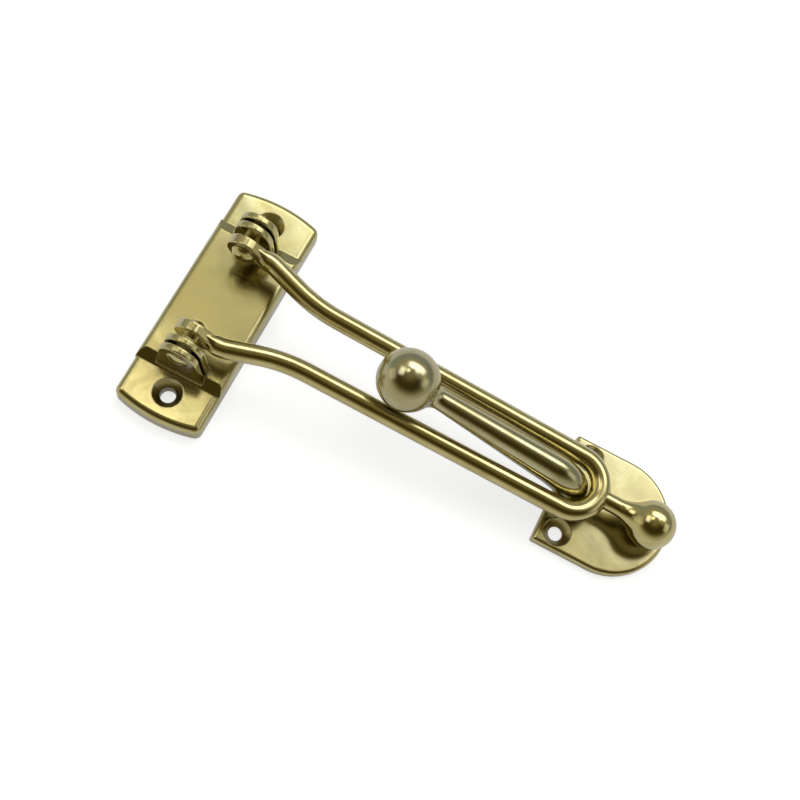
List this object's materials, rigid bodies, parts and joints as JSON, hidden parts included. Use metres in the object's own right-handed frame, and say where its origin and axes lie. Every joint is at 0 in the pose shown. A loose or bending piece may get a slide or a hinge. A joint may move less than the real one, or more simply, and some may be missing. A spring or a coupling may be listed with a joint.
{
  "type": "swing bar door guard",
  "caption": "Brass swing bar door guard: a hinge base with a looped wire bar and knob, and a keeper plate whose ball-ended arm is held in the loop.",
  "frame": {"origin": "centre of the hinge base's flat back face", "axes": "+X along the bar from the hinge towards the knob, +Y along the hinge pins, +Z away from the door"},
  "size_m": [0.1382, 0.0666, 0.0284],
  "materials": {
    "cast_brass": "polished",
    "drawn_brass": "polished"
  },
  "bodies": {
    "base": {"hinge_base": "cast_brass", "hinge_pin_upper": "drawn_brass", "hinge_pin_lower": "drawn_brass"},
    "bar": {"swing_bar": "drawn_brass", "bar_knob": "drawn_brass"},
    "keeper": {"keeper_plate": "cast_brass", "keeper_arm": "cast_brass"}
  },
  "joints": [
    {"name": "bar_swing", "type": "hinge", "parent": "base", "child": "bar", "pos_m": [0, 0, 0.0154], "axis": [0, -1, 0], "range_deg": [0, 180]},
    {"name": "keeper_slide", "type": "slide", "parent": "bar", "child": "keeper", "axis": [-0.9988, 0, 0.0492], "range_m": [0, 0.03]}
  ]
}
